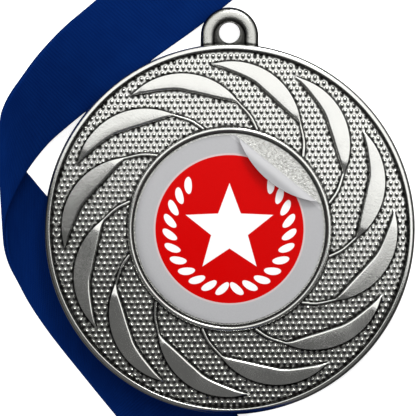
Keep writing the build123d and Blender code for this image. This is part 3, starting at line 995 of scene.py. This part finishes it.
def start_material(name, **values):
    """A material with its shader's plain values set. Returns the material, its tree and its shader."""
    made = bpy.data.materials.new(name)
    made.use_nodes = True
    shader = made.node_tree.nodes["Principled BSDF"]
    for socket, value in values.items():
        shader.inputs[socket.replace("_", " ")].default_value = value
    print("finish", name)
    return made, made.node_tree, shader


def millimetres(tree):
    """The point on the piece, in millimetres, as a vector."""
    at = node(tree, "TexCoord").outputs["Object"]
    return node(tree, "VectorMath", {0: at, "Scale": 1 / MM}, operation="SCALE").outputs[0]


def bump(tree, shader, height, depth, before=None):
    """Wires a height, in shares of a depth in millimetres, into a shader's normal."""
    inputs = {"Height": height, "Distance": depth * MM, "Strength": 1.0}
    if before:
        inputs["Normal"] = before
    made = node(tree, "Bump", inputs)
    tree.links.new(made.outputs[0], shader.inputs["Normal"])
    return made.outputs[0]


# %% [markdown]
# ## Shared effects: grain, handling wear and weave
# Cast metal has a fine skin, a mix of coarse dimples and fine grit. Handled surfaces carry soft smudges
# that change how sharply they reflect. Woven tape has ribs across it, because a thick weft is covered
# by a fine warp. Each is built once here, and takes its size from the material that uses it.

# %% The grain group
grain, given, result = start_group(
    "grain", [("Point", "Vector", None), ("Size", "Float", 0.2), ("Grit", "Float", 0.5)],
    [("Height", "Float"), ("Specks", "Float")])
per_mm = math(grain, "DIVIDE", 1.0, given["Size"])
coarse = noise(grain, given["Point"], per_mm, 3.0, 0.6)
fine = noise(grain, given["Point"], times(grain, per_mm, 3.1), 2.0, 0.7)
grain.links.new(math(grain, "MULTIPLY_ADD", fine, given["Grit"], coarse), result["Height"])
grain.links.new(ramp(grain, fine, 0.56, 0.7), result["Specks"])

# %% The smudge group
smudge, given, result = start_group(
    "smudge", [("Point", "Vector", None), ("Size", "Float", 8.0),
               ("Low", "Float", 0.3), ("High", "Float", 0.4)],
    [("Roughness", "Float"), ("Mask", "Float")])
cloud = noise(smudge, given["Point"], math(smudge, "DIVIDE", 1.0, given["Size"]), 4.0, 0.6)
cloud = ramp(smudge, cloud, 0.35, 0.68)
spread = math(smudge, "SUBTRACT", given["High"], given["Low"])
smudge.links.new(math(smudge, "MULTIPLY_ADD", cloud, spread, given["Low"]), result["Roughness"])
smudge.links.new(cloud, result["Mask"])

# %% The weave group
weave, given, result = start_group(
    "weave", [("Tape", "Vector", None), ("Rib", "Float", 0.42), ("Thread", "Float", 0.16)],
    [("Height", "Float"), ("Valley", "Float")])
tape_xyz = node(weave, "SeparateXYZ", {0: given["Tape"]}).outputs
wobble = times(weave, math(weave, "SUBTRACT", noise(weave, given["Tape"], 0.9), 0.5), 0.12)
rib_turn = times(weave, math(weave, "DIVIDE", math(weave, "ADD", tape_xyz[1], wobble), given["Rib"]), pi)
rib = math(weave, "ABSOLUTE", math(weave, "SINE", rib_turn))
thread_turn = times(weave, math(weave, "DIVIDE", tape_xyz[0], given["Thread"]), pi)
thread = math(weave, "ABSOLUTE", math(weave, "SINE", math(weave, "ADD", thread_turn, rib_turn)))
weave.links.new(math(weave, "MULTIPLY_ADD", thread, 0.25, rib), result["Height"])
weave.links.new(ramp(weave, rib, 0.0, 0.55, 1.0, 0.0), result["Valley"])
print("groups", sorted(g.name for g in bpy.data.node_groups))


# %% Two steps that most finishes end with
def paint(tree, shader, colour):
    tree.links.new(colour, shader.inputs["Base Color"])


def handled(tree, shader, point, size, low, high):
    """Smudges of a size in millimetres, between two roughnesses."""
    marks = use(tree, smudge, {"Point": point, "Size": size, "Low": low, "High": high})
    tree.links.new(marks["Roughness"], shader.inputs["Roughness"])



# %% [markdown]
# ## Antique silver
# The casting is plated silver, darkened, then rubbed so that the dark stays only in the recesses. Each
# point of the relief already says how dark it is: antique dark at the foot of a wall, none on a crest,
# and painted shade on each pip's lower side and down the inner slopes of the rim and the ring. The
# finish reads that as an attribute. The eye is duller and rougher than the face. The seat under the
# label is bright and has a coarse sparkling grain.

# %% The medal's finish
RUBBED = (0.72, 0.72, 0.69, 1)
EYE_SILVER = (0.52, 0.52, 0.49, 1)
# one dark colour for both the antique dark and the painted shade
PATINA_AND_SHADE_DARK = (0.022, 0.022, 0.02, 1)
SEAT_SILVER = (0.9, 0.9, 0.87, 1)
SPECK = (0.40, 0.40, 0.37, 1)


def seat_mask(tree, reach, z):
    """1 on the label's seat: inside the ring's foot, and only on the face."""
    inside = ramp(tree, reach, RING_INNER - 0.15, RING_INNER - 0.03, 1.0, 0.0)
    return times(tree, inside, ramp(tree, z, 0.9, 1.0))


def antique_silver():
    made, tree, shader = start_material("antique_silver", Metallic=1.0)
    point = millimetres(tree)
    x, y, z = node(tree, "SeparateXYZ", {0: point}).outputs
    skin = use(tree, grain, {"Point": point, "Size": 0.32, "Grit": 0.8})
    sand = use(tree, grain, {"Point": point, "Size": 0.3, "Grit": 1.0})
    marks = use(tree, smudge, {"Point": point, "Size": 5.0, "Low": 0.15, "High": 0.22})
    reach = reach_of(tree, x, y)
    # the relief's dark: antique dark in the recesses, and painted shade on the pips' lower sides and the
    # inner slopes of the rim and the ring
    corner = node(tree, "Attribute", attribute_name="dark").outputs["Fac"]
    cast_eye = ramp(tree, reach, R, R + 0.3)
    seat = seat_mask(tree, reach, z)
    kept = ramp(tree, corner, 0.0, 0.85, 0.0, 0.98)
    rubbed = blend_colours(tree, cast_eye, RUBBED, EYE_SILVER)
    colour = blend_colours(tree, kept, rubbed, PATINA_AND_SHADE_DARK)
    colour = blend_colours(tree, times(tree, seat, 0.5), colour, SEAT_SILVER)
    colour = blend_colours(tree, times(tree, skin["Specks"], 0.16), colour, SPECK)
    sparkle = times(tree, ramp(tree, sand["Height"], 0.85, 1.15), times(tree, seat, 0.6))
    colour = blend_colours(tree, sparkle, colour, SPECK)
    paint(tree, shader, colour)
    rough = math(tree, "MULTIPLY_ADD", seat, 0.06, marks["Roughness"])
    tree.links.new(rough, shader.inputs["Roughness"])
    rough_skin = math(tree, "MULTIPLY_ADD", cast_eye, 2.5, 1.0)
    first = bump(tree, shader, times(tree, skin["Height"], rough_skin), 0.010)
    bump(tree, shader, times(tree, sand["Height"], seat), 0.04, first)
    return made


medal.data.materials.append(antique_silver())

# %% [markdown]
# ## Printed film
# The label is printed satin film: a grey border, a red disc with a thin pale outline, and a white star
# in a wreath. The star is worked out in polar form. Folding the angle into one tenth of a turn leaves
# a single straight edge to test. The flap shows the film's unprinted underside, and the glue that the
# label is stuck down with is a thin mottled layer.

# %% The print as masks
STAR_OUTER, STAR_INNER = 6.2, 2.6
POINT_HALF = radians(36)             # half the angle between two of the star's points
WREATH_RADIUS, LEAF_STEP = 8.1, radians(13)
LEAF_HALF_WIDTH, LEAF_HALF_LENGTH = 0.5, 1.15
LEAF_SLANT = [(0.75, -0.66), (0.66, 0.75)]
WREATH_ENDS = 2.48                   # the wreath stops at this angle from its lowest point, each side


def star_mask(tree, x, y, outer, inner):
    """1 inside a five-pointed star that points up."""
    angle = math(tree, "ARCTAN2", x, y)
    folded = math(tree, "PINGPONG", math(tree, "ABSOLUTE", angle), POINT_HALF)
    reach = reach_of(tree, x, y)
    px = times(tree, reach, math(tree, "COSINE", folded))
    py = times(tree, reach, math(tree, "SINE", folded))
    ex, ey = inner * cos(POINT_HALF) - outer, inner * sin(POINT_HALF)
    length = hypot(ex, ey)
    side = math(tree, "MULTIPLY_ADD", px, ey / length, times(tree, py, -ex / length))
    return ramp(tree, side, outer * ey / length - 0.03, outer * ey / length + 0.03, 1.0, 0.0)


def squared_share(tree, value, whole):
    return math(tree, "POWER", math(tree, "DIVIDE", math(tree, "ABSOLUTE", value), whole), 2.0)


def wreath_mask(tree, x, y):
    """1 inside a ring of slanted leaves that is open at the top."""
    angle = math(tree, "ABSOLUTE", math(tree, "ARCTAN2", x, times(tree, y, -1.0)))
    leaf = math(tree, "FRACT", math(tree, "DIVIDE", angle, LEAF_STEP))
    local = times(tree, math(tree, "SUBTRACT", leaf, 0.5), WREATH_RADIUS * LEAF_STEP)
    out = math(tree, "SUBTRACT", reach_of(tree, x, y), WREATH_RADIUS)
    across, along = [math(tree, "MULTIPLY_ADD", local, a, times(tree, out, b)) for a, b in LEAF_SLANT]
    size = math(tree, "ADD", squared_share(tree, across, LEAF_HALF_WIDTH),
                squared_share(tree, along, LEAF_HALF_LENGTH))
    present = ramp(tree, angle, WREATH_ENDS, WREATH_ENDS + 0.01, 1.0, 0.0)
    return times(tree, ramp(tree, size, 0.9, 1.1, 1.0, 0.0), present)


# %% The label's finish
DISC_RADIUS, DISC_OUTLINE, PRINT_SOFT = 10.0, 0.25, 0.03
PRINT_GREY = [(0.40, 0.40, 0.41, 1), (0.47, 0.47, 0.48, 1)]
PRINT_RED = [(0.55, 0.0, 0.0, 1), (0.62, 0.0, 0.0, 1)]
PRINT_OUTLINE = (0.62, 0.50, 0.50, 1)
PRINT_WHITE = (0.93, 0.93, 0.93, 1)


def printed_to(tree, reach, radius):
    """1 inside a radius, with a slightly soft edge."""
    return ramp(tree, reach, radius - PRINT_SOFT, radius + PRINT_SOFT, 1.0, 0.0)


def label_print():
    made, tree, shader = start_material("label_print", Coat_Weight=0.03, Coat_Roughness=0.3)
    shader.inputs["Specular IOR Level"].default_value = 0.06
    point = millimetres(tree)
    x, y, _ = node(tree, "SeparateXYZ", {0: point}).outputs
    reach = reach_of(tree, x, y)
    disc = printed_to(tree, reach, DISC_RADIUS)
    outline = math(tree, "SUBTRACT", printed_to(tree, reach, DISC_RADIUS + DISC_OUTLINE), disc)
    white = math(tree, "MAXIMUM", star_mask(tree, x, y, STAR_OUTER, STAR_INNER), wreath_mask(tree, x, y))
    fibre = noise(tree, point, 6.0, 3.0)
    colour = blend_colours(tree, outline, blend_colours(tree, fibre, *PRINT_GREY), PRINT_OUTLINE)
    colour = blend_colours(tree, disc, colour, blend_colours(tree, fibre, *PRINT_RED))
    colour = blend_colours(tree, white, colour, PRINT_WHITE)
    paint(tree, shader, colour)
    handled(tree, shader, point, 6.0, 0.3, 0.42)
    bump(tree, shader, use(tree, grain, {"Point": point, "Size": 0.6, "Grit": 0.3})["Height"], 0.004)
    return made


label.data.materials.append(label_print())


# %% The flap's underside: painted shade in grey, with painted highlights at the crease and at the free edge
def film_back():
    made, tree, shader = start_material("film_back", Coat_Weight=0.3, Coat_Roughness=0.2)
    point = millimetres(tree)
    fibre = noise(tree, point, 1.4, 4.0)
    # painted shade: the flap's grey, which is left showing across its middle
    colour = blend_colours(tree, fibre, (0.30, 0.30, 0.31, 1), (0.36, 0.36, 0.37, 1))
    along = {0: point, 1: tuple(peel_out)}
    reach = node(tree, "VectorMath", along, operation="DOT_PRODUCT").outputs["Value"]
    # painted highlights: the flap is made pale towards its free edge and towards the crease
    painted_highlight = math(tree, "ADD", ramp(tree, reach, 7.1, 8.5, 0.8, 0.0), ramp(tree, reach, 8.9, 9.8, 0.0, 0.6))
    colour = blend_colours(tree, painted_highlight, colour, (0.66, 0.66, 0.67, 1))
    paint(tree, shader, colour)
    handled(tree, shader, point, 3.0, 0.32, 0.45)
    bump(tree, shader, use(tree, grain, {"Point": point, "Size": 0.5, "Grit": 0.3})["Height"], 0.004)
    return made


flap.data.materials.append(film_back())


# %% The glue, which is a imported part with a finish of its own
def adhesive_film():
    made, tree, shader = start_material("adhesive", Coat_Weight=0.4)
    point = millimetres(tree)
    blobs = use(tree, grain, {"Point": point, "Size": 0.8, "Grit": 0.5})
    colour = blend_colours(tree, blobs["Specks"], (0.66, 0.64, 0.58, 1), (0.78, 0.77, 0.72, 1))
    paint(tree, shader, colour)
    handled(tree, shader, point, 2.0, 0.35, 0.6)
    bump(tree, shader, blobs["Height"], 0.02)
    return made


adhesive = frame["nodes"]["label_adhesive"]
adhesive.data.materials.clear()
adhesive.data.materials.append(adhesive_film())

# %% [markdown]
# ## Woven tape, thread and wire
# The tape is navy polyester with fine ribs across it. Its valleys are darker than its crowns, and it
# scarcely shines. The thread is the same navy with a twist. The wire is bright nickel with faint drawn
# lines.

# %% The ribbon's finish
NAVY = [(0.0012, 0.012, 0.088, 1), (0.0022, 0.019, 0.118, 1)]
NAVY_VALLEY = (0.0004, 0.004, 0.035, 1)


def ribbon_weave():
    made, tree, shader = start_material("ribbon_weave")
    shader.inputs["Specular IOR Level"].default_value = 0.0
    tape = node(tree, "UVMap", uv_map="ribbon").outputs[0]
    cloth = use(tree, weave, {"Tape": tape, "Rib": 0.42, "Thread": 0.17})
    shade = noise(tree, tape, 0.35, 4.0)
    colour = blend_colours(tree, shade, *NAVY)
    colour = blend_colours(tree, times(tree, cloth["Valley"], 0.35), colour, NAVY_VALLEY)
    paint(tree, shader, colour)
    rough = ramp(tree, cloth["Height"], 0.0, 1.2, 0.75, 0.5)
    tree.links.new(rough, shader.inputs["Roughness"])
    bump(tree, shader, cloth["Height"], 0.03)
    return made


ribbon.data.materials.append(ribbon_weave())


# %% The thread's finish
def thread_finish():
    made, tree, shader = start_material("thread", Sheen_Weight=0.2)
    point = millimetres(tree)
    x, y, z = node(tree, "SeparateXYZ", {0: point}).outputs
    turn = math(tree, "ADD", times(tree, x, 26.0), times(tree, y, -8.0))
    twist = math(tree, "ABSOLUTE", math(tree, "SINE", math(tree, "ADD", turn, times(tree, z, 14.0))))
    colour = blend_colours(tree, twist, (0.0006, 0.006, 0.05, 1), (0.004, 0.028, 0.16, 1))
    paint(tree, shader, colour)
    tree.links.new(ramp(tree, twist, 0.0, 1.0, 0.75, 0.5), shader.inputs["Roughness"])
    bump(tree, shader, twist, 0.03)
    return made


stitches.data.materials.append(thread_finish())


# %% The wire's finish
def clip_nickel():
    made, tree, shader = start_material("clip_wire", Metallic=1.0)
    point = millimetres(tree)
    stretched = node(tree, "VectorMath", {0: point, 1: (2.0, 2.0, 12.0)}, operation="MULTIPLY")
    drawn = noise(tree, stretched.outputs[0], 1.5, 3.0)
    colour = blend_colours(tree, drawn, (0.60, 0.58, 0.54, 1), (0.74, 0.72, 0.68, 1))
    paint(tree, shader, colour)
    handled(tree, shader, point, 3.0, 0.14, 0.28)
    bump(tree, shader, drawn, 0.006)
    return made


clip.data.materials.append(clip_nickel())

# %% [markdown]
# ## Table, light and camera
# The medal lies on a plain white table and is seen from straight above. Metal shows what it reflects,
# so one large soft light hangs low over the top right, close enough that the reflection fades across
# the face, from nearly white there to grey at the lower left. A weak one hangs over the lower left, a
# small one stands farther up for the crests, and one at the lower left lights only what is matt, so
# that it leaves the metal alone. The table glows plain white to the camera, and the metal sees a
# painted dark reflection of it instead. A long lens keeps the view flat.

# %% The table
TABLE_WHITE = [(0.90, 0.90, 0.90, 1), (0.94, 0.94, 0.94, 1)]
TABLE_PAINTED_REFLECTION = (0.07, 0.07, 0.07, 1)
TABLE_GLOW = (0.8, 0.8, 0.8, 1)


def white_table():
    made, tree, shader = start_material("table_white", Roughness=0.9)
    shade = noise(tree, millimetres(tree), 0.02, 2.0)
    colour = blend_colours(tree, shade, *TABLE_WHITE)
    light = node(tree, "LightPath").outputs
    # painted reflection: the metal sees the table dark, not white
    colour = blend_colours(tree, light["Is Glossy Ray"], colour, TABLE_PAINTED_REFLECTION)
    paint(tree, shader, colour)
    glow = blend_colours(tree, light["Is Camera Ray"], (0, 0, 0, 1), TABLE_GLOW)
    tree.links.new(glow, shader.inputs["Emission Color"])
    shader.inputs["Emission Strength"].default_value = 1.0
    return made


TABLE_HALF = 1500.0
TABLE_GAP = 0.06         # the ribbon's weave stands this far off the table
table_mesh = bpy.data.meshes.new("table")
table_plan = [(x * TABLE_HALF, y * TABLE_HALF) for x, y in ((-1, -1), (1, -1), (1, 1), (-1, 1))]
table_points = [(x * MM, y * MM, (TABLE - TABLE_GAP) * MM) for x, y in table_plan]
table_mesh.from_pydata(table_points, [], [(0, 1, 2, 3)])
table = bpy.data.objects.new("table", table_mesh)
table_mesh.materials.append(white_table())
bpy.context.scene.collection.objects.link(table)

# %% Soft lights
def soft_light(name, place, width, height, watts, aim=(0, 0, 0), turn=0.0, mirrored=True):
    lamp = bpy.data.lights.new(name, "AREA")
    lamp.shape = "RECTANGLE"
    lamp.size, lamp.size_y, lamp.energy = width, height, watts
    holder = bpy.data.objects.new(name, lamp)
    holder.location = place
    holder.rotation_euler = (Vector(aim) - Vector(place)).to_track_quat("-Z", "Y").to_euler()
    holder.rotation_euler.rotate_axis("Z", radians(turn))
    holder.visible_camera = False
    holder.visible_glossy = mirrored
    bpy.context.scene.collection.objects.link(holder)


soft_light("overhead", (0.045, 0.147, 0.09), 0.30, 0.30, 0.38, aim=(0.045, 0.147, 0.0), turn=-17.0)
soft_light("fill", (-0.043, -0.141, 0.09), 0.30, 0.30, 0.03, aim=(-0.043, -0.141, 0.0), turn=-17.0)
soft_light("key", (0.10, 0.33, 0.24), 0.12, 0.12, 0.8)
soft_light("low left", (-0.28, -0.12, 0.14), 0.12, 0.12, 0.7, mirrored=False)
room = bpy.data.worlds.new("room")
room.use_nodes = True
room.node_tree.nodes["Background"].inputs["Color"].default_value = (1, 1, 1, 1)
room.node_tree.nodes["Background"].inputs["Strength"].default_value = 0.02
bpy.context.scene.world = room
bpy.context.scene.view_settings.view_transform = "Standard"

# %% The camera
FRAME_WIDTH = 0.05607
FRAME_MIDDLE = (-0.0029, 0.00285)
lens = bpy.data.cameras.new("camera")
lens.lens = 500.0
camera = bpy.data.objects.new("camera", lens)
away = FRAME_WIDTH * lens.lens / lens.sensor_width
camera.location = (*FRAME_MIDDLE, away + TOP * MM)
lens.clip_end = 10.0
bpy.context.scene.collection.objects.link(camera)
bpy.context.scene.camera = camera
print("camera", round(away, 3), "m above the face")

# %% Remove what Blender starts with
for spare in [o for o in bpy.data.objects if o.name in ("Cube", "Light", "Camera")]:
    bpy.data.objects.remove(spare)
